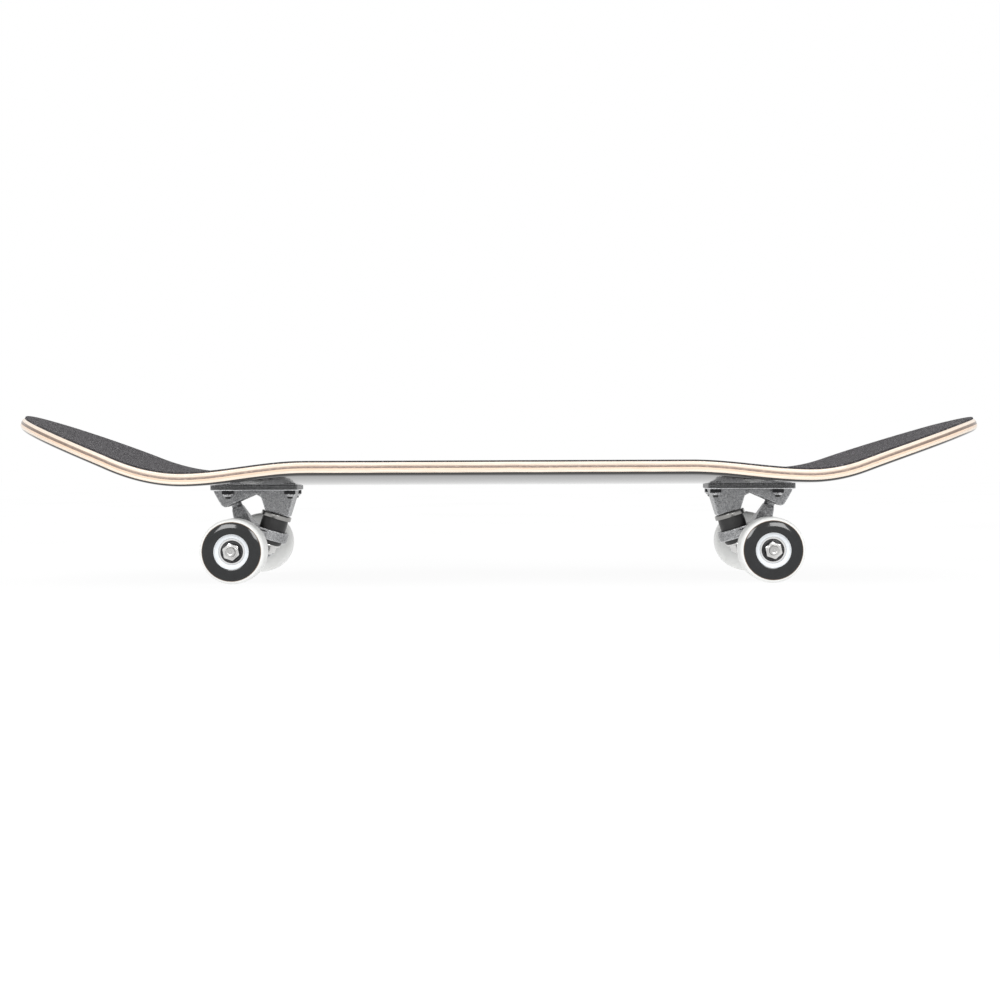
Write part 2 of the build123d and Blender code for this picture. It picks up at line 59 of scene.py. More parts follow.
def box(node):
    """Lowest and highest corners of a CAD node, as vectors in metres."""
    low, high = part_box(node)
    return Vector(low), Vector(high)


DECK_LOW, DECK_HIGH = box("deck")
HALF_LENGTH = DECK_HIGH.x
HALF_WIDTH = DECK_HIGH.y
WOOD_BOTTOM = DECK_LOW.z
WOOD_TOP = box("grip_tape")[0].z
WOOD_THICK = WOOD_TOP - WOOD_BOTTOM
GRIP_THICK = 1.15 * MM

# Pressing of the board, as in the CAD: half the flat strip, the rails' rise and where it starts to fade,
# and each kick's start, radius and angle. Tables of the two ends have -1 for the nose and 1 for the tail.
FLAT_HALF = 30 * MM
RISE = 9.4 * MM
RISE_START = 159 * MM
KICKS = {-1: (259 * MM, 159 * MM, math.radians(22.3)), 1: (256.8 * MM, 132 * MM, math.radians(19.4))}

# Finer than the CAD: the rails' rise at a kick's start and past its reach, and how far the tips droop
KICK_RISES = {-1: (0.2 * MM, 2.2 * MM), 1: (2.2 * MM, 3.2 * MM)}
KICK_RISE_REACH = 75 * MM
TIP_DROOPS = {-1: 0.4 * MM, 1: 1.6 * MM}
TIP_REACH = 34 * MM

# Outline: where each end starts to narrow, and the powers that shape its curve
OUTLINES = {-1: (259.7 * MM, 2.46), 1: (194.7 * MM, 2.70)}
OUTLINE_POWER = 1.95

# Rounds of the wood's edge, along the rails and at the tips
ROUND_TOP = 1.5 * MM
ROUND_TOP_AT_TIP = 3.6 * MM
ROUND_BOTTOM = 3.4 * MM
ROUND_BOTTOM_AT_TIP = 4.8 * MM


# ---------------------------------------------------------------- small mesh tools

def add_object(name, bm, smooth=True, weld=True):
    """Turns a bmesh into a shown object with outward normals, its coincident points welded if asked."""
    if weld:
        bmesh.ops.remove_doubles(bm, verts=bm.verts, dist=1e-7)
    bmesh.ops.recalc_face_normals(bm, faces=bm.faces)
    mesh = bpy.data.meshes.new(name)
    bm.to_mesh(mesh)
    bm.free()
    mesh.polygons.foreach_set("use_smooth", [smooth] * len(mesh.polygons))
    obj = bpy.data.objects.new(name, mesh)
    bpy.context.scene.collection.objects.link(obj)
    return obj


def apply_modifiers(obj):
    """Replaces an object's mesh by what its modifiers make of it."""
    graph = bpy.context.evaluated_depsgraph_get()
    mesh = bpy.data.meshes.new_from_object(obj.evaluated_get(graph))
    obj.modifiers.clear()
    old = obj.data
    obj.data = mesh
    bpy.data.meshes.remove(old)


def sharpen(obj, degrees=35):
    """Marks the edges sharper than an angle, so that smooth shading keeps them crisp."""
    bm = bmesh.new()
    bm.from_mesh(obj.data)
    limit = math.radians(degrees)
    for edge in bm.edges:
        if len(edge.link_faces) == 2:
            edge.smooth = edge.calc_face_angle(0) < limit
    bm.to_mesh(obj.data)
    bm.free()


def lathe_into(bm, profile, place, steps=96, closed=True):
    """Turns a profile about local Z into a bmesh.

    A profile lists (radius, height), or (radius, height, flats) for a ring cut to a hexagon. Each point keeps
    its place on the turned piece, in millimetres, as the attribute "local".
    """
    rings = []
    local = bm.verts.layers.float_vector.get("local") or bm.verts.layers.float_vector.new("local")
    for radius, height, *hexagon in profile:
        if radius < 1e-9:
            vert = bm.verts.new(place @ Vector((0, 0, height)))
            vert[local] = Vector((0, 0, height)) / MM
            rings.append([vert])
            continue
        ring = []
        for i in range(steps):
            turn = 2 * math.pi * i / steps
            reach = radius
            if hexagon:
                off = (turn + math.pi / 6) % (math.pi / 3) - math.pi / 6
                reach = min(radius, hexagon[0] / 2 / math.cos(off))
            point = Vector((reach * math.cos(turn), reach * math.sin(turn), height))
            vert = bm.verts.new(place @ point)
            vert[local] = point / MM
            ring.append(vert)
        rings.append(ring)
    pairs = list(zip(rings, rings[1:]))
    if closed:
        pairs.append((rings[-1], rings[0]))
    for a, b in pairs:
        for i in range(steps):
            j = (i + 1) % steps
            corners = [a[i % len(a)], a[j % len(a)], b[j % len(b)], b[i % len(b)]]
            corners = list(dict.fromkeys(corners))
            if len(corners) > 2:
                bm.faces.new(corners)


def rounded(points, radius, steps=4):
    """Rounds each corner of a closed profile; radius is one number or one for each point."""
    out = []
    count = len(points)
    radii = radius if isinstance(radius, (list, tuple)) else [radius] * count
    for i, point in enumerate(points):
        p = Vector(point)
        before = Vector(points[i - 1]) - p
        after = Vector(points[(i + 1) % count]) - p
        turn = before.angle(after, math.pi)
        r = radii[i]
        if r <= 0 or abs(turn - math.pi) < 0.02:
            out.append(tuple(p))
            continue
        cut = min(r / math.tan(turn / 2), before.length * 0.48, after.length * 0.48)
        a = p + before.normalized() * cut
        b = p + after.normalized() * cut
        for k in range(steps + 1):
            t = k / steps
            q = a * (1 - t) ** 2 + p * 2 * t * (1 - t) + b * t ** 2
            out.append(tuple(q))
    return out


def facing(centre, direction):
    """Matrix at a centre with local Z along a direction."""
    return Matrix.Translation(centre) @ Vector(direction).to_track_quat("Z", "Y").to_matrix().to_4x4()


def finish_piece(obj, body, slot, *nodes):
    """Hides the CAD nodes that a piece stands for and, if a body is given, attaches the piece to it; the slot
    is not used.
    """
    if body:
        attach(obj, body)
    if nodes:
        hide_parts(*nodes)


# ---------------------------------------------------------------- node material tools

class Shader:
    """A material being wired: short calls for the nodes that the materials here use."""

    def __init__(self, name):
        self.material = bpy.data.materials.new(name)
        self.material.use_nodes = True
        self.tree = self.material.node_tree
        self.bsdf = self.tree.nodes["Principled BSDF"]
        self.coords = self.tree.nodes.new("ShaderNodeTexCoord").outputs["Object"]

    def node(self, kind, **settings):
        """A new node of a kind, with its settings."""
        made = self.tree.nodes.new(kind)
        for key, value in settings.items():
            setattr(made, key, value)
        return made

    def link(self, source, target):
        self.tree.links.new(source, target)

    def set(self, **values):
        """Plain values for the surface's inputs, with underscores for the spaces in their names."""
        for key, value in values.items():
            self.bsdf.inputs[key.replace("_", " ")].default_value = value

    def stretched(self, vector, scale):
        """Coordinates scaled by three numbers, for a texture that runs along a line."""
        mapping = self.node("ShaderNodeMapping")
        mapping.inputs["Scale"].default_value = scale
        self.link(vector, mapping.inputs["Vector"])
        return mapping.outputs["Vector"]

    def noise(self, scale, detail=3.0, rough=0.5, vector=None, distort=0.0):
        made = self.node("ShaderNodeTexNoise")
        made.inputs["Scale"].default_value = scale
        made.inputs["Detail"].default_value = detail
        made.inputs["Roughness"].default_value = rough
        made.inputs["Distortion"].default_value = distort
        self.link(vector or self.coords, made.inputs["Vector"])
        return made.outputs["Fac"]

    def voronoi(self, scale, output="Distance", vector=None):
        made = self.node("ShaderNodeTexVoronoi")
        made.inputs["Scale"].default_value = scale
        self.link(vector or self.coords, made.inputs["Vector"])
        return made.outputs[output]

    def cell_value(self, scale, channel, vector):
        """A number for each cell of a texture, even over 0 to 1; each channel gives other numbers."""
        parts = self.node("ShaderNodeSeparateColor")
        self.link(self.voronoi(scale, "Color", vector), parts.inputs[0])
        return parts.outputs[channel]

    def ramp(self, source, stops, constant=False):
        """Colours, or greys given as one number, at places from 0 to 1 of a source."""
        made = self.node("ShaderNodeValToRGB")
        ramp = made.color_ramp
        ramp.interpolation = "CONSTANT" if constant else "LINEAR"
        while len(ramp.elements) < len(stops):
            ramp.elements.new(0.5)
        for element, (place, colour) in zip(ramp.elements, stops):
            element.position = place
            value = colour if isinstance(colour, tuple) else (colour, colour, colour)
            element.color = (*value, 1)
        self.link(source, made.inputs["Fac"])
        return made.outputs["Color"]

    def map_range(self, source, low, high, to_low, to_high):
        made = self.node("ShaderNodeMapRange")
        for key, value in (("From Min", low), ("From Max", high), ("To Min", to_low), ("To Max", to_high)):
            made.inputs[key].default_value = value
        self.link(source, made.inputs["Value"])
        return made.outputs["Result"]

    def math(self, operation, a, b=0.0):
        made = self.node("ShaderNodeMath", operation=operation)
        for socket, value in zip(made.inputs, (a, b)):
            if hasattr(value, "links"):
                self.link(value, socket)
            else:
                socket.default_value = value
        return made.outputs["Value"]

    def mix(self, factor, a, b, blend="MIX"):
        made = self.node("ShaderNodeMix", data_type="RGBA", blend_type=blend)
        for socket, value in zip((made.inputs[0], made.inputs[6], made.inputs[7]), (factor, a, b)):
            if hasattr(value, "links"):
                self.link(value, socket)
            elif isinstance(value, tuple):
                socket.default_value = (*value, 1)
            else:
                socket.default_value = value
        return made.outputs[2]

    def mix_value(self, factor, a, b):
        made = self.node("ShaderNodeMix")
        for socket, source in (("Factor", factor), ("A", a), ("B", b)):
            self.link(source, made.inputs[socket])
        return made.outputs["Result"]

    def attribute(self, name, output="Fac"):
        return self.node("ShaderNodeAttribute", attribute_name=name).outputs[output]

    def on_board(self, depth=None):
        """Coordinates on the unrolled board: along it, across it and, if given, down into it."""
        axes = self.node("ShaderNodeCombineXYZ")
        self.link(self.attribute("along"), axes.inputs[0])
        self.link(self.attribute("across"), axes.inputs[1])
        if depth:
            self.link(self.math("MULTIPLY", depth, MM), axes.inputs[2])
        return axes.outputs[0]

    def turned(self):
        """Radius and height of a turned piece, in millimetres."""
        parts = self.node("ShaderNodeSeparateXYZ")
        self.link(self.attribute("local", "Vector"), parts.inputs[0])
        x, y, height = parts.outputs
        radius = self.math("SQRT", self.math("ADD", self.math("MULTIPLY", x, x), self.math("MULTIPLY", y, y)))
        return radius, height

    def bump(self, height, distance, strength):
        made = self.node("ShaderNodeBump")
        made.inputs["Strength"].default_value = strength
        made.inputs["Distance"].default_value = distance
        self.link(height, made.inputs["Height"])
        return made.outputs["Normal"]

    def finish(self, colour, roughness, normal=None):
        """Links the surface's inputs and gives the finished material."""
        self.link(colour, self.bsdf.inputs["Base Color"])
        self.link(roughness, self.bsdf.inputs["Roughness"])
        if normal:
            self.link(normal, self.bsdf.inputs["Normal"])
        return self.material


# ---------------------------------------------------------------- the pressed board

def unrolled(x, end):
    """Distance along the board's top face to the point at x, on one end."""
    start, radius, slope = KICKS[end]
    reach = abs(x) - start
    if reach <= 0:
        return abs(x)
    if reach <= radius * math.sin(slope):
        return start + radius * math.asin(reach / radius)
    return start + radius * slope + (reach - radius * math.sin(slope)) / math.cos(slope)


def board_point(along, across, depth):
    """Point of the pressed board: along its top face from the middle, across it, and down into the wood."""
    end = 1 if along > 0 else -1
    start, radius, slope = KICKS[end]
    distance = abs(along)
    lift = 0.0
    if abs(across) > FLAT_HALF:
        low_rise, tip_rise = KICK_RISES[end]
        fade = min(max((start - distance) / (start - RISE_START), 0), 1)
        grow = min(max((distance - start) / KICK_RISE_REACH, 0), 1)
        rise = low_rise + (RISE - low_rise) * fade * fade * (3 - 2 * fade)
        rise += (tip_rise - low_rise) * grow * grow * (3 - 2 * grow)
        bank = (abs(across) - FLAT_HALF) / (HALF_WIDTH - FLAT_HALF)
        lift = rise * bank ** 2
    below = depth - lift
    turn = min(max((distance - start) / radius, 0), slope)
    past = max(distance - start - radius * slope, 0)
    near_tip = max(distance - unrolled(HALF_LENGTH, end) + TIP_REACH, 0) / TIP_REACH
    below += TIP_DROOPS[end] * near_tip ** 2
    x = min(distance, start) + (radius + below) * math.sin(turn) + past * math.cos(turn)
    z = WOOD_TOP + radius - (radius + below) * math.cos(turn) + past * math.sin(turn)
    return Vector((end * x, across, z))


def board_outline(step=3.2 * MM):
    """The board's outline on its unrolled top face, as evenly spaced points with inward normals."""
    raw = []
    for end in (1, -1):
        start, power = OUTLINES[end]
        overhang = (WOOD_THICK - ROUND_BOTTOM) * math.sin(KICKS[end][2])
        tip = HALF_LENGTH - overhang - start
        quarter = []
        for i in range(241):
            t = math.sin(math.pi / 2 * i / 240) ** (2 / power)
            width = HALF_WIDTH * (1 - t ** power) ** (1 / OUTLINE_POWER)
            quarter.append((end * unrolled(start + tip * t, end), width))
        raw.append(quarter)
    tail, nose = raw
    upper = list(reversed(nose)) + tail
    lower = [(a, -w) for a, w in reversed(upper)]
    loop = [Vector(p) for p in upper + lower[1:-1]]
    lengths = [(loop[(i + 1) % len(loop)] - p).length for i, p in enumerate(loop)]
    total = sum(lengths)
    count = 4 * round(total / step / 4)
    points = []
    i = 0
    passed = 0.0
    for k in range(count):
        target = total * k / count
        while passed + lengths[i] < target:
            passed += lengths[i]
            i += 1
        a, b = loop[i], loop[(i + 1) % len(loop)]
        points.append(a.lerp(b, (target - passed) / lengths[i] if lengths[i] else 0))
    normals = []
    for k, p in enumerate(points):
        tangent = points[(k + 1) % count] - points[k - 1]
        normals.append(Vector((tangent.y, -tangent.x)).normalized())
    return points, normals


OUTLINE = board_outline()
SPINE = unrolled(HALF_LENGTH, 1) - HALF_WIDTH


def board_shell(name, edge, tip_edge, rings=22):
    """A closed layer of the board. edge lists (inset, depth) from its top face round to its underside.

    tip_edge is the same list for the two tips, and the edge turns from one into the other round the ends.
    """
    points, normals = OUTLINE
    count = len(points)
    bm = bmesh.new()
    depths = bm.verts.layers.float.new("depth")
    alongs = bm.verts.layers.float.new("along")
    acrosses = bm.verts.layers.float.new("across")

    def ring(place, shrink=1.0):
        made = []
        for p, n in zip(points, normals):
            share = n.x ** 2
            inset, depth = [a + (b - a) * share for a, b in zip(edge[place], tip_edge[place])]
            q = p + n * inset
            spine = Vector((min(max(q.x, -SPINE), SPINE), 0))
            q = spine + (q - spine) * shrink
            vert = bm.verts.new(board_point(q.x, q.y, depth))
            vert[depths] = depth / MM
            vert[alongs] = q.x
            vert[acrosses] = q.y
            made.append(vert)
        return made

    shrinks = [1 - (k / rings) for k in range(1, rings)] + [0.004]
    top = [ring(0, s) for s in reversed(shrinks)]
    side = [ring(k) for k in range(len(edge))]
    bottom = [ring(len(edge) - 1, s) for s in shrinks]
    every = top + side + bottom
    for a, b in zip(every, every[1:]):
        for i in range(count):
            j = (i + 1) % count
            bm.faces.new((a[i], a[j], b[j], b[i]))
    for cap in (every[0], every[-1]):
        for i in range(count // 2):
            pair = [cap[i], cap[i + 1], cap[count - i - 1], cap[-i]]
            pair = list(dict.fromkeys(pair))
            if len(pair) > 2:
                bm.faces.new(pair)
    return add_object(name, bm, weld=False)


def bullnose(thick, top_radius, bottom_radius, steps=6, side_steps=8):
    """Edge section of the wood as (inset, depth): a small round on top, a larger one below."""
    section = []
    for k in range(steps + 1):
        turn = math.pi / 2 * k / steps
        section.append((top_radius * (1 - math.sin(turn)), top_radius * (1 - math.cos(turn))))
    low = thick - bottom_radius
    for k in range(1, side_steps):
        section.append((0, top_radius + (low - top_radius) * k / side_steps))
    for k in range(steps + 1):
        turn = math.pi / 2 * k / steps
        section.append((bottom_radius * (1 - math.cos(turn)), low + bottom_radius * math.sin(turn)))
    return section


def wood_material():
    """Pressed maple: seven plies on the edge, stained and clear, and a black lacquered underside."""
    s = Shader("maple_plies")
    depth = s.attribute("depth")
    flat = s.on_board(depth)
    grain = s.noise(1.0, 4, 0.6, s.stretched(flat, (60, 900, 2600)), 0.3)
    streak = s.noise(1.0, 3, 0.55, s.stretched(flat, (14, 14, 1500)))
    waver = s.math("MULTIPLY", s.math("SUBTRACT", s.noise(35, 2, 0.5, flat), 0.5), 0.35)
    level = s.math("DIVIDE", s.math("ADD", depth, waver), WOOD_THICK / MM)
    # Colours of the bands, and the depth in millimetres where each starts, from the filed top edge down; the
    # first band, filed, is painted shade from the grip's edge over the top round, with some grit filed onto
    # the wood
    filed = (0.11, 0.095, 0.085)
    clear = (0.80, 0.71, 0.615)
    cream = (0.78, 0.675, 0.575)
    tan = (0.47, 0.37, 0.305)
    umber = (0.20, 0.145, 0.125)
    orange = (0.78, 0.60, 0.46)
    line = (0.50, 0.37, 0.28)
    black = (0.012, 0.011, 0.011)
    plies = [(0, filed), (0.45, clear), (1.5, cream), (2.95, line), (3.05, tan), (3.75, umber),
             (5.35, orange), (6.7, line), (6.8, clear), (8.85, black)]
    stops = [(top / (WOOD_THICK / MM), colour) for top, colour in plies]
    base = s.ramp(level, stops, constant=True)
    broken = s.map_range(s.noise(1.0, 4, 0.7, s.stretched(flat, (260, 260, 2200))), 0.48, 0.66, 0, 0.6)
    stained = s.math("MULTIPLY", s.map_range(depth, 2.95, 3.1, 0, 1), s.map_range(depth, 5.4, 5.6, 1, 0))
    base = s.mix(s.math("MULTIPLY", broken, stained), base, (0.62, 0.50, 0.41))
    near_tip = s.map_range(s.math("ABSOLUTE", s.attribute("along")), 0.29, 0.42, 0, 0.8)
    base = s.mix(s.math("MULTIPLY", near_tip, stained), base, (0.13, 0.085, 0.06))
    soft = s.ramp(grain, [(0.3, (0.74, 0.70, 0.66)), (0.52, (1, 1, 1)), (0.75, (1.0, 0.97, 0.92))])
    warm = s.ramp(streak, [(0.3, (0.86, 0.80, 0.74)), (0.6, (1, 1, 1))])
    colour = s.mix(0.75, base, soft, "MULTIPLY")
    colour = s.mix(0.8, colour, warm, "MULTIPLY")
    roughness = s.map_range(grain, 0.25, 0.75, 0.34, 0.5)
    under = s.map_range(depth, 8.75, 8.9, 0, 1)
    smear = s.noise(22, 4, 0.6, flat)
    scratch = s.noise(1.0, 2, 0.5, s.stretched(flat, (4, 420, 1)), 0.6)
    gloss = s.math("ADD", s.map_range(smear, 0.3, 0.7, 0.03, 0.07), s.map_range(scratch, 0.66, 0.75, 0, 0.05))
    s.set(Coat_Weight=0.5, Coat_Roughness=0.04)
    return s.finish(colour, s.mix_value(under, roughness, gloss), s.bump(grain, 0.00012, 0.35))


def grip_material():
    """Silicon carbide grit in black resin: bright specks and a few larger glints on a dark ground."""
    s = Shader("grip_grit")
    flat = s.on_board()
    pick = s.cell_value(1500, 0, flat)
    patch = s.noise(90, 3, 0.6, flat)
    fine = s.noise(2600, 2, 0.7, flat)
    ground = s.ramp(fine, [(0.30, (0.030, 0.027, 0.031)), (0.5, (0.112, 0.102, 0.116)),
                           (0.72, (0.27, 0.25, 0.275))])
    glint = s.ramp(s.cell_value(560, 1, flat), [(0.0, 1.0), (0.975, 1.0), (0.99, 3.0)])
    speck = s.ramp(pick, [(0.0, 0.55), (0.7, 1.0), (0.93, 1.6), (0.985, 3.2)])
    colour = s.mix(1.0, s.mix(1.0, ground, speck, "MULTIPLY"), glint, "MULTIPLY")
    shade = s.ramp(patch, [(0.3, 0.86), (0.7, 1.08)])
    colour = s.mix(1.0, colour, shade, "MULTIPLY")
    roughness = s.map_range(pick, 0.0, 1.0, 0.92, 0.45)
    height = s.math("ADD", fine, s.math("MULTIPLY", s.voronoi(1500, "Distance", flat), 900))
    s.set(Specular_IOR_Level=0.45)
    return s.finish(colour, roughness, s.bump(height, 0.0004, 0.9))


def make_deck():
    """The pressed wood of the board."""
    wood = board_shell("deck_plies", bullnose(WOOD_THICK, ROUND_TOP, ROUND_BOTTOM),
                       bullnose(WOOD_THICK, ROUND_TOP_AT_TIP, ROUND_BOTTOM_AT_TIP))
    wood.data.materials.append(wood_material())
    finish_piece(wood, "board", "deck_wood", "deck")


def grip_edge(round_top):
    """Filed edge of the grip over a top round of that radius."""
    inset = round_top * 0.42
    lip = round_top * (1 - math.sqrt(1 - (1 - inset / round_top) ** 2))
    return [(inset + 0.9 * MM, -GRIP_THICK), (inset + 0.35 * MM, -0.84 * GRIP_THICK),
            (inset + 0.08 * MM, -0.5 * GRIP_THICK), (inset, 0.0), (inset, lip + 0.05 * MM)]


def make_grip():
    """The sheet of grip, with a filed edge and a punched hole at each bolt."""
    grip = board_shell("grip_sheet", grip_edge(ROUND_TOP), grip_edge(ROUND_TOP_AT_TIP))
    punch = bmesh.new()
    radius = 5.0 * MM
    head = 4.7 * MM
    for end in ENDS:
        low, high = box(f"{end}_deck_bolts")
        for x in (low.x + head, high.x - head):
            for y in (low.y + head, high.y - head):
                lathe_into(punch, [(0, -2 * MM), (radius, -2 * MM), (radius, 2 * MM), (0, 2 * MM)],
                           Matrix.Translation((x, y, WOOD_TOP)), 40, closed=False)
    cutter = add_object("punch", punch, smooth=False)
    cut = grip.modifiers.new("holes", "BOOLEAN")
    cut.operation = "DIFFERENCE"
    cut.solver = "EXACT"
    cut.object = cutter
    apply_modifiers(grip)
    bpy.data.objects.remove(cutter)
    sharpen(grip, 40)
    grip.data.materials.append(grip_material())
    finish_piece(grip, "board", "grip", "grip_tape")


# ---------------------------------------------------------------- trucks and wheels

# Places in the tail truck's own frame, the same as the CAD's
TRUCK_MIDDLE = 3.75 * MM
KINGPIN = (199 * MM, 53.3 * MM)
KINGPIN_TILT = math.radians(17.4)
AXLE = (222.5 * MM, 27 * MM)
PLATE_UNDERSIDE = WOOD_BOTTOM - 4.7 * MM

# Distances out along the axle, from the middle of the truck; a bearing's is from the middle of its wheel
WHEEL_Y = 86.2 * MM
BEARING_OFFSET = 8.5 * MM
SPEED_WASHER_YS = (73.25 * MM, 98.2 * MM)
AXLE_NUT_Y = 99.15 * MM
AXLE_NUT_TURN = math.radians(11)

# Distances down the kingpin: of its washers and nut, and of a stretch along each bushing
TOP_CUP_DOWN = -2.6 * MM
BOTTOM_CUP_DOWN = 24.4 * MM
LOCK_NUT_DOWN = 26.0 * MM
UPPER_BEND = (0, 11.5 * MM)
LOWER_BEND = (20.0 * MM, 24.3 * MM)

# Sizes of the nuts across their flats, in millimetres
DECK_NUT_FLATS = 9.5
AXLE_NUT_FLATS = 12.7
KINGPIN_NUT_FLATS = 14.3


def mm(points):
    """Turns a profile in millimetres into metres."""
    return [tuple(value * MM for value in point) for point in points]


def truck(end):
    """Matrix that carries a piece drawn for the tail truck to its end of the board."""
    return Matrix.Translation((TRUCK_MIDDLE, 0, 0)) @ Matrix.Rotation(math.pi if end == "nose" else 0, 4, "Z")


def on_kingpin(end, distance):
    """Place on the kingpin, a distance down it, with local Z pointing down it."""
    down = Vector((math.sin(KINGPIN_TILT), 0, -math.cos(KINGPIN_TILT)))
    start = Vector((KINGPIN[0], 0, KINGPIN[1]))
    return truck(end) @ facing(start + down * distance, down)


def on_axle(end, side, y):
    """Place on the axle at a distance from the truck's middle, on one side, with local Z outwards."""
    centre = truck(end) @ Vector((AXLE[0], 0, AXLE[1]))
    return facing(centre + Vector((0, SIDES[side] * y, 0)), (0, SIDES[side], 0))


def turned_piece(name, profiles, body, slot, material, nodes, steps=96, angle=32):
    """One shown piece turned from (profile, place) pairs."""
    bm = bmesh.new()
    for profile, place in profiles:
        lathe_into(bm, profile, place, steps)
    piece = add_object(name, bm)
    sharpen(piece, angle)
    piece.data.materials.append(material)
    finish_piece(piece, body, slot, *nodes)
    return piece


def thread(radius, start, end, pitch, depth=0.32):
    """Profile of a screw thread along a bar, as rings."""
    points = []
    turns = int((end - start) / pitch)
    for k in range(turns):
        z = start + k * pitch
        points += [(radius - depth, z), (radius, z + 0.4 * pitch), (radius, z + 0.6 * pitch)]
    return points + [(radius - depth, end)]


def fine_sides(profile, step=0.8):
    """Adds points along a closed profile, so that a soft piece has rings enough to bend."""
    out = []
    for a, b in zip(profile, profile[1:] + profile[:1]):
        a, b = Vector(a), Vector(b)
        count = max(int((b - a).length / step), 1)
        out += [tuple(a.lerp(b, k / count)) for k in range(count)]
    return out


def hex_profile(flats, height, bore, collar, chamfer=0.6):
    """A chamfered hexagon nut from 0 up, with a locking collar and its nylon ring on top."""
    corner = flats / math.sqrt(3)
    face = flats / 2 * 0.96
    ring = flats * 0.43
    top = height + collar
    hexagon = [(face, 0, flats), (corner - 0.2, chamfer * 0.55, flats), (corner, chamfer, flats),
               (corner, height - chamfer, flats), (corner - 0.2, height - chamfer * 0.45, flats),
               (face, height, flats), (ring, height, flats)]
    crown = [(ring - 0.15, height + 0.2), (ring - 0.25, top - 0.35), (ring - 0.6, top - 0.05),
             (ring - 0.95, top), (bore + 0.75, top)]
    nylon = [(bore + 0.7, top - 0.5), (bore + 0.1, top - 0.55), (bore, top - 0.7)]
    return mm([(bore, 0.3), (bore + 0.35, 0)] + hexagon + crown + nylon)


def metal(name, tone, rough, warm=0.0, wear=0.12, bump=0.25, metallic=1.0):
    """Plated or turned steel: fine mottling in colour and gloss, with faint tool marks."""
    s = Shader(name)
    patch = s.noise(100, 4, 0.6)
    fine = s.noise(1200, 3, 0.6)
    high = tuple(min(tone * (1 + wear) * (1 + warm * k), 1) for k in (1, 0.3, -1))
    low = tuple(tone * (1 - wear) * (1 + warm * k) for k in (1, 0.3, -1))
    colour = s.ramp(patch, [(0.3, low), (0.7, high)])
    roughness = s.map_range(fine, 0.25, 0.75, rough * 0.8, min(rough * 1.3, 1))
    s.set(Metallic=metallic)
    return s.finish(colour, roughness, s.bump(fine, 0.00006, bump))


def cast_material():
    """Tumbled cast aluminium: grey, pitted, with a grain that catches the light, a painted highlight along
    its edges and, on the baseplate's flange, painted shade and a painted highlight line.
    """
    s = Shader("cast_aluminium")
    grain = s.math("ADD", s.math("MULTIPLY", s.noise(2200, 4, 0.7), 0.5),
                   s.math("MULTIPLY", s.noise(650, 4, 0.75), 0.5))
    pits = s.voronoi(900)
    cloud = s.noise(60, 4, 0.6)
    base = s.ramp(grain, [(0.37, (0.15, 0.152, 0.158)), (0.5, (0.30, 0.303, 0.31)),
                          (0.63, (0.60, 0.60, 0.605))])
    shade = s.ramp(cloud, [(0.3, 0.86), (0.7, 1.1)])
    # Brighter where the mesh is sharp and convex: a painted highlight along the casting's edges.
    edge = s.node("ShaderNodeNewGeometry").outputs["Pointiness"]
    painted_edge_highlight = s.ramp(edge, [(0.50, 0.95), (0.53, 1.5), (0.57, 2.2)])
    # Painted light on the baseplate by height: a painted highlight line along the flange's lower edge, and
    # painted shade on the flange's side under the deck.
    parts = s.node("ShaderNodeSeparateXYZ")
    s.link(s.coords, parts.inputs[0])
    flange_painted_light = s.ramp(s.map_range(parts.outputs[2], PLATE_UNDERSIDE, WOOD_BOTTOM, 0, 1),
                    [(0.02, 1.0), (0.03, 1.7), (0.12, 1.7), (0.2, 0.36), (0.85, 0.42), (0.98, 1.0)])
    colour = s.mix(1.0, s.mix(1.0, base, shade, "MULTIPLY"), painted_edge_highlight, "MULTIPLY")
    colour = s.mix(1.0, colour, flange_painted_light, "MULTIPLY")
    roughness = s.map_range(grain, 0.4, 0.6, 0.22, 0.44)
    height = s.math("ADD", grain, s.math("MULTIPLY", pits, 0.5))
    s.set(Metallic=0.85)
    return s.finish(colour, roughness, s.bump(height, 0.0006, 0.75))


def rubber_material(name, tone, rough=0.42):
    """Moulded black elastomer with a faint skin."""
    s = Shader(name)
    skin = s.noise(900, 4, 0.6)
    cloud = s.noise(120, 3, 0.5)
    low = (tone * 0.8, tone * 0.8, tone * 0.82)
    high = (tone * 1.3, tone * 1.28, tone * 1.3)
    colour = s.ramp(cloud, [(0.3, low), (0.7, high)])
    roughness = s.map_range(skin, 0.3, 0.7, rough - 0.08, rough + 0.12)
    return s.finish(colour, roughness, s.bump(skin, 0.0001, 0.3))


def deck_nut_material():
    """Black oxide on the flats of a lock nut, with bright steel colour at its lower edge and collar as a
    painted highlight.
    """
    s = Shader("deck_nut")
    radius, height = s.turned()
    mottle = s.noise(900, 4, 0.65)
    waver = s.math("MULTIPLY", s.math("SUBTRACT", mottle, 0.5), 2.2)
    # The bright steel colour over the lower edge and collar, below a wavy line, is a painted highlight.
    painted_highlight_mask = s.map_range(s.math("ADD", height, waver), 3.0, 3.5, 0, 1)
    black = s.ramp(mottle, [(0.3, (0.012, 0.012, 0.013)), (0.7, (0.035, 0.035, 0.037))])
    bright = s.ramp(mottle, [(0.35, (0.22, 0.22, 0.225)), (0.65, (0.85, 0.85, 0.86))])
    roughness = s.map_range(mottle, 0.3, 0.7, 0.22, 0.4)
    s.set(Metallic=0.85)
    return s.finish(s.mix(painted_highlight_mask, black, bright), roughness, s.bump(mottle, 0.0001, 0.4))


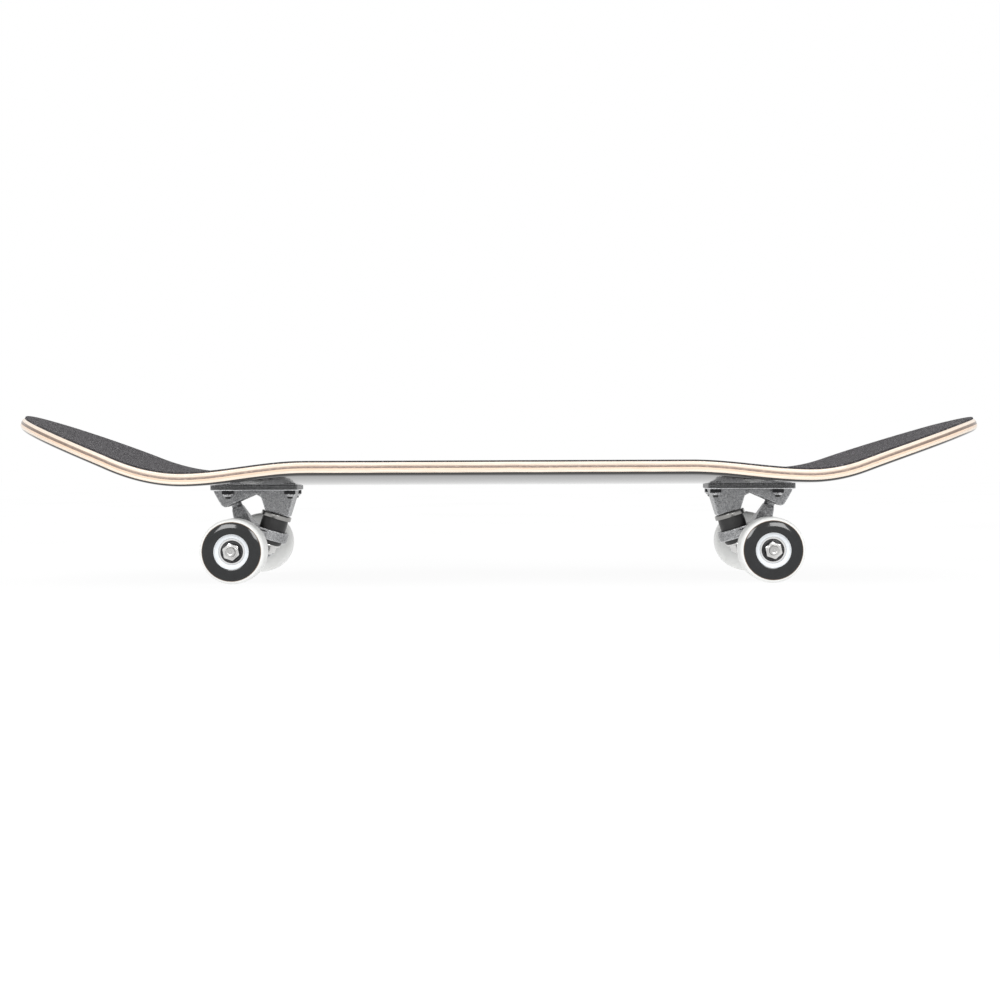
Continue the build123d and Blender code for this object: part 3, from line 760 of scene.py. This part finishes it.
def urethane_material():
    """White cast urethane with a gloss black band printed on the outer face."""
    s = Shader("urethane")
    radius, height = s.turned()
    mottle = s.noise(160, 4, 0.55)
    white = s.ramp(mottle, [(0.3, (0.76, 0.765, 0.75)), (0.7, (0.82, 0.825, 0.815))])
    inner = s.ramp(mottle, [(0.3, (0.72, 0.75, 0.78)), (0.7, (0.78, 0.805, 0.83))])
    body = s.mix(s.map_range(radius, 14.2, 14.6, 1, 0), white, inner)
    waver = s.math("MULTIPLY", s.math("SUBTRACT", s.noise(500, 2), 0.5), 0.12)
    edge = s.math("ADD", radius, waver)
    ink = s.ramp(mottle, [(0.3, (0.004, 0.0045, 0.005)), (0.7, (0.008, 0.009, 0.010))])
    on_face = s.map_range(height, 13.0, 13.2, 0, 1)
    band = s.math("MULTIPLY", s.map_range(edge, 14.35, 14.55, 0, 1), s.map_range(edge, 24.3, 24.5, 1, 0))
    band = s.math("MULTIPLY", band, on_face)
    rim = s.math("MULTIPLY", s.map_range(edge, 24.1, 24.25, 0, 1), s.map_range(edge, 24.5, 24.7, 1, 0))
    rim = s.math("MULTIPLY", rim, on_face)
    colour = s.mix(band, body, ink)
    colour = s.mix(rim, colour, (0.20, 0.135, 0.09))
    scuff = s.noise(700, 4, 0.65)
    matt = s.map_range(scuff, 0.3, 0.7, 0.40, 0.56)
    gloss = s.map_range(scuff, 0.3, 0.7, 0.07, 0.13)
    s.link(s.math("MULTIPLY", band, 0.5), s.bsdf.inputs["Coat Weight"])
    s.set(Coat_Roughness=0.04, Coat_IOR=1.4, Specular_IOR_Level=0.35)
    s.set(Subsurface_Weight=0.12, Subsurface_Radius=(0.004, 0.004, 0.004), Subsurface_Scale=0.5)
    return s.finish(colour, s.mix_value(band, matt, gloss), s.bump(scuff, 0.00005, 0.25))


def shield_material():
    """Black coated bearing shield, glossy, with fine turned rings."""
    s = Shader("shield_black")
    radius, height = s.turned()
    rings = s.math("SINE", s.math("MULTIPLY", radius, 26.0))
    mottle = s.noise(500, 3, 0.6)
    colour = s.ramp(mottle, [(0.3, (0.010, 0.010, 0.011)), (0.7, (0.022, 0.022, 0.024))])
    return s.finish(colour, s.map_range(mottle, 0.3, 0.7, 0.20, 0.32), s.bump(rings, 0.00003, 0.4))


def wheel_profile():
    """Section of the wheel: on each side a bearing seat, a recess, a domed band and a rounded lip."""
    recess = [(8.7, 0), (8.7, 5), (11, 5), (11.02, 12.3), (11.5, 12.55), (13.4, 13.5), (13.9, 14.1),
              (14.05, 15.1), (14.25, 15.5), (14.5, 15.63)]
    inner, outer = 14.5, 24.1
    crest, crest_radius, fall = 15.95, 17.6, 0.032
    band = []
    for k in range(1, 13):
        radius = inner + (outer - inner) * k / 12
        band.append((radius, crest - fall * (radius - crest_radius) ** 2))
    lip = [(24.4, 14.42), (24.9, 14.05), (25.5, 13.45), (26.1, 12.55), (26.6, 11.5), (26.9, 10.6),
           (27, 9.9), (27, 6), (27, 3)]
    half = recess + band + lip
    return mm(half + [(radius, -height) for radius, height in reversed(half[1:])])


def cast_piece(node, body, material):
    """A casting made from its CAD solid, its edges rounded off as sand and tumbling leave them."""
    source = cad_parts[node]
    mesh = source.data.copy()
    mesh.transform(source.matrix_world)
    mesh.materials.clear()
    piece = bpy.data.objects.new(f"{node}_casting", mesh)
    bpy.context.scene.collection.objects.link(piece)
    for key in list(piece.keys()):
        del piece[key]
    remesh = piece.modifiers.new("remesh", "REMESH")
    remesh.mode = "VOXEL"
    remesh.voxel_size = 0.5 * MM
    remesh.use_smooth_shade = True
    soften = piece.modifiers.new("soften", "SMOOTH")
    soften.factor = 0.5
    soften.iterations = 4
    apply_modifiers(piece)
    piece.data.materials.append(material)
    finish_piece(piece, body, "cast_aluminium", node)


def carried_over(material, *names):
    """Gives CAD nodes that are shown as they are a procedural material."""
    for node in names:
        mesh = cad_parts[node].data
        if not mesh.materials:
            mesh.materials.append(material)
        for index in range(len(mesh.materials)):
            mesh.materials[index] = material


def make_stack(end, looks):
    """The kingpin with its washers, bushings and nut."""
    board = "board"
    place = on_kingpin(end, 0)
    head = [(0, -24.2), (6.6, -24.5, 13.86), (8, -24, 13.86), (8, -19.4, 13.86), (7, -19, 13.86)]
    shank = [(4.76, -19), (4.76, 25.8)] + thread(4.76, 25.8, 33.9, 1.06)
    point = [(4.1, 34.3), (3.6, 34.4), (0, 34.4)]
    turned_piece(f"{end}_kingpin_bolt", [(mm(head + shank + point), place)], board, "kingpin_steel",
                 looks["zinc"], [f"{end}_kingpin"])
    cup = rounded([(4.95, 0), (13.35, 0), (13.35, 4.2), (11.95, 4.2), (11.95, 1.4), (4.95, 1.4)],
                  [0.2, 1.15, 0.45, 0.45, 0.9, 0.2])
    turned_piece(f"{end}_top_cup", [(mm(cup), on_kingpin(end, TOP_CUP_DOWN))], board, "washer_steel",
                 looks["nickel"], [f"{end}_upper_washer"])
    flat = rounded([(4.95, 0.0), (10.6, 0.0), (10.6, 1.6), (4.95, 1.6)], [0.2, 0.55, 0.7, 0.2])
    turned_piece(f"{end}_bottom_cup", [(mm(flat), on_kingpin(end, BOTTOM_CUP_DOWN))], board, "washer_steel",
                 looks["bright"], [f"{end}_lower_washer"])
    nut = hex_profile(KINGPIN_NUT_FLATS, height=5.8, bore=4.8, collar=1.8)
    turned_piece(f"{end}_lock_nut", [(nut, on_kingpin(end, LOCK_NUT_DOWN))], board, "nut_steel",
                 looks["bright"], [f"{end}_kingpin_nut"])
    top, bottom, radius = -1.2, 14.4, 11.2
    barrel = rounded([(4.96, top), (radius - 0.2, top), (radius + 0.25, top + 4),
                      (radius + 0.4, (top + bottom) / 2), (radius + 0.25, bottom - 3), (radius, bottom),
                      (4.96, bottom)], [0.3, 1.0, 3, 3, 3, 0.6, 0.3])
    upper = turned_piece(f"{end}_top_bushing", [(mm(fine_sides(barrel)), place)], None, "bushing_rubber",
                         looks["bushing"], [f"{end}_upper_bushing"])
    top, bottom = 18.2, 24.4
    cone = rounded([(4.96, top), (11.8, top), (11.9, top + 2), (11.3, bottom - 1.5), (10.5, bottom),
                    (4.96, bottom)], [0.3, 0.4, 1, 1, 0.6, 0.3])
    lower = turned_piece(f"{end}_bottom_bushing", [(mm(fine_sides(cone)), place)], None, "bushing_rubber",
                         looks["bushing"], [f"{end}_lower_bushing"])
    [on_kingpin(end, distance).translation for distance in UPPER_BEND]
    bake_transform(upper)
    [on_kingpin(end, distance).translation for distance in LOWER_BEND]
    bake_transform(lower)


def make_deck_nuts(end, looks):
    """The four lock nuts under a baseplate."""
    nut = hex_profile(DECK_NUT_FLATS, height=3.9, bore=2.45, collar=1.3, chamfer=0.45)
    low, high = box(f"{end}_deck_nuts")
    corner = DECK_NUT_FLATS / math.sqrt(3) * MM
    face = DECK_NUT_FLATS / 2 * MM
    spots = []
    for x in (low.x + corner, high.x - corner):
        for y in (low.y + face, high.y - face):
            spots.append((nut, facing((x, y, PLATE_UNDERSIDE), (0, 0, -1))))
    turned_piece(f"{end}_nuts", spots, "board", "bolt_steel", looks["deck nut"], [f"{end}_deck_nuts"], 60)


def make_axle_rod(end, hanger, looks):
    """The axle, threaded at both ends, with a centre drilled in each."""
    rod = [(0, -107.55), (1.2, -107.5), (1.45, -107.75), (1.9, -108), (3.2, -108), (3.9, -107.3)]
    rod += [(radius, -z) for radius, z in reversed(thread(3.97, 97.6, 107.2, 1.06))]
    rod += [(3.97, -97), (3.97, 0)]
    rod += [(radius, -z) for radius, z in reversed(rod[:-1])]
    turned_piece(f"{end}_axle_rod", [(mm(rod), on_axle(end, "right", 0))], hanger, "axle_steel",
                 looks["axle"], [f"{end}_axle"])


def make_wheel(end, side, looks):
    """A wheel with the covers of its two bearings."""
    wheel = f"{end}_{side}_wheel"
    turned_piece(f"{end}_{side}_tyre", [(wheel_profile(), on_axle(end, side, WHEEL_Y))], wheel, "urethane",
                 looks["urethane"], [wheel], 144, 40)
    cover = mm(rounded([(6.35, 2.85), (6.9, 3.1), (8.6, 3.12), (9.0, 3.32), (9.4, 3.32), (9.4, 2.98),
                        (8.9, 2.9), (8.5, 2.8), (6.9, 2.75), (6.4, 2.7)], 0.1, 2))
    covers = []
    for offset in (-BEARING_OFFSET, BEARING_OFFSET):
        bearing = on_axle(end, side, WHEEL_Y + offset)
        covers += [(cover, bearing), (cover, bearing @ Matrix.Rotation(math.pi, 4, "X"))]
    turned_piece(f"{end}_{side}_covers", covers, wheel, "shield", looks["shield"],
                 [f"{end}_{side}_shields"], 72)
    carried_over(looks["bearing"], f"{end}_{side}_outer_races", f"{end}_{side}_balls")
    carried_over(looks["cage"], f"{end}_{side}_cages")


def make_axle_nuts(end, hanger, looks):
    """The two axle nuts, and a speed washer on each side of each wheel."""
    nut = hex_profile(AXLE_NUT_FLATS, height=4.7, bore=4.0, collar=1.5, chamfer=0.75)
    washer = mm(rounded([(4.07, 0), (5.6, 0), (5.6, 0.95), (4.07, 0.95)], 0.2))
    turn = Matrix.Rotation(AXLE_NUT_TURN, 4, "Z")
    nuts = [(nut, on_axle(end, side, AXLE_NUT_Y) @ turn) for side in SIDES]
    washers = [(washer, on_axle(end, side, y)) for side in SIDES for y in SPEED_WASHER_YS]
    turned_piece(f"{end}_wheel_nuts", nuts, hanger, "nut_steel", looks["bright"], [f"{end}_axle_nuts"])
    turned_piece(f"{end}_wheel_washers", washers, hanger, "washer_steel", looks["nickel"],
                 [f"{end}_speed_washers"], 60)


def make_looks():
    """The materials of the trucks and wheels."""
    return {
        "zinc": metal("kingpin_zinc", 0.42, 0.30, warm=0.03),
        "nickel": metal("washer_nickel", 0.30, 0.20, warm=0.02),
        "bright": metal("nut_nickel", 0.66, 0.16, warm=0.01),
        "axle": metal("axle_ground", 0.50, 0.24, warm=0.01),
        "bearing": metal("bearing_chrome", 0.72, 0.12, wear=0.06, bump=0.1),
        "black": metal("bolt_black", 0.020, 0.34, warm=0.02, wear=0.25, bump=0.3, metallic=0.4),
        "deck nut": deck_nut_material(),
        "bushing": rubber_material("bushing_black", 0.018),
        "cup": rubber_material("cup_black", 0.024, 0.5),
        "cage": rubber_material("cage_cream", 0.55, 0.45),
        "cast": cast_material(),
        "urethane": urethane_material(),
        "shield": shield_material(),
    }


def make_trucks():
    """Both trucks with their wheels."""
    looks = make_looks()
    for end in ENDS:
        hanger = f"{end}_truck_hanger"
        cast_piece(f"{end}_baseplate", "board", looks["cast"])
        cast_piece(f"{end}_hanger", hanger, looks["cast"])
        make_stack(end, looks)
        make_deck_nuts(end, looks)
        make_axle_rod(end, hanger, looks)
        for side in SIDES:
            make_wheel(end, side, looks)
        make_axle_nuts(end, hanger, looks)
        carried_over(looks["bearing"], f"{end}_inner_races")
        carried_over(looks["axle"], f"{end}_bearing_spacers")
        carried_over(looks["black"], f"{end}_deck_bolts")
        carried_over(looks["cup"], f"{end}_pivot_cup")


make_deck()
make_grip()
make_trucks()


# ---------------------------------------------------------------- camera, floor and light

def make_camera():
    """A level camera square to the board's side, a little to the tail, as far off as the view needs."""
    distance = 1555 * MM
    height = 98.9 * MM
    yaw = math.radians(0.58)
    roll = math.radians(0.21)
    data = bpy.data.cameras.new("camera")
    data.sensor_width = 36
    data.lens = 63.8
    data.shift_x = 0.0017
    data.shift_y = -0.0365
    data.clip_start = 0.01
    camera = bpy.data.objects.new("camera", data)
    bpy.context.scene.collection.objects.link(camera)
    level = Matrix.Rotation(math.pi / 2, 4, "X")
    look = Matrix.Rotation(yaw, 4, "Z") @ level @ Matrix.Rotation(-roll, 4, "Z")
    place = (distance * math.sin(yaw), -distance * math.cos(yaw), height)
    camera.matrix_world = Matrix.Translation(place) @ look
    bpy.context.scene.camera = camera


def soft_box(name, place):
    """A square area light at a place, aimed at the board."""
    data = bpy.data.lights.new(name, "AREA")
    data.size = 0.62
    data.energy = 11
    light = bpy.data.objects.new(name, data)
    light.matrix_world = facing(place, Vector(place) - Vector((0, 0, 0.05)))
    bpy.context.scene.collection.objects.link(light)


def make_studio():
    """A white floor and sky, with two soft boxes high in front, to the left and the right."""
    bm = bmesh.new()
    lathe_into(bm, [(0, 0), (0.5, 0), (2, 0), (9, 0)], Matrix.Translation((0, 0, -0.0004)), 96, closed=False)
    floor = add_object("floor", bm)
    s = Shader("floor_white")
    tone = s.ramp(s.noise(3, 2), [(0.3, 0.06), (0.7, 0.08)])
    s.set(Emission_Color=(1, 1, 1, 1), Emission_Strength=0.93, Specular_IOR_Level=0.0)
    floor.data.materials.append(s.finish(tone, s.map_range(s.noise(8, 2), 0.3, 0.7, 0.9, 0.95)))
    world = bpy.data.worlds.new("studio")
    world.use_nodes = True
    background = world.node_tree.nodes["Background"]
    background.inputs["Color"].default_value = (1, 1, 1, 1)
    background.inputs["Strength"].default_value = 1.0
    bpy.context.scene.world = world
    bpy.context.scene.view_settings.view_transform = "Standard"
    soft_box("key_left", (-0.66, -1.7, 0.8))
    soft_box("key_right", (0.66, -1.7, 0.8))


make_camera()
make_studio()
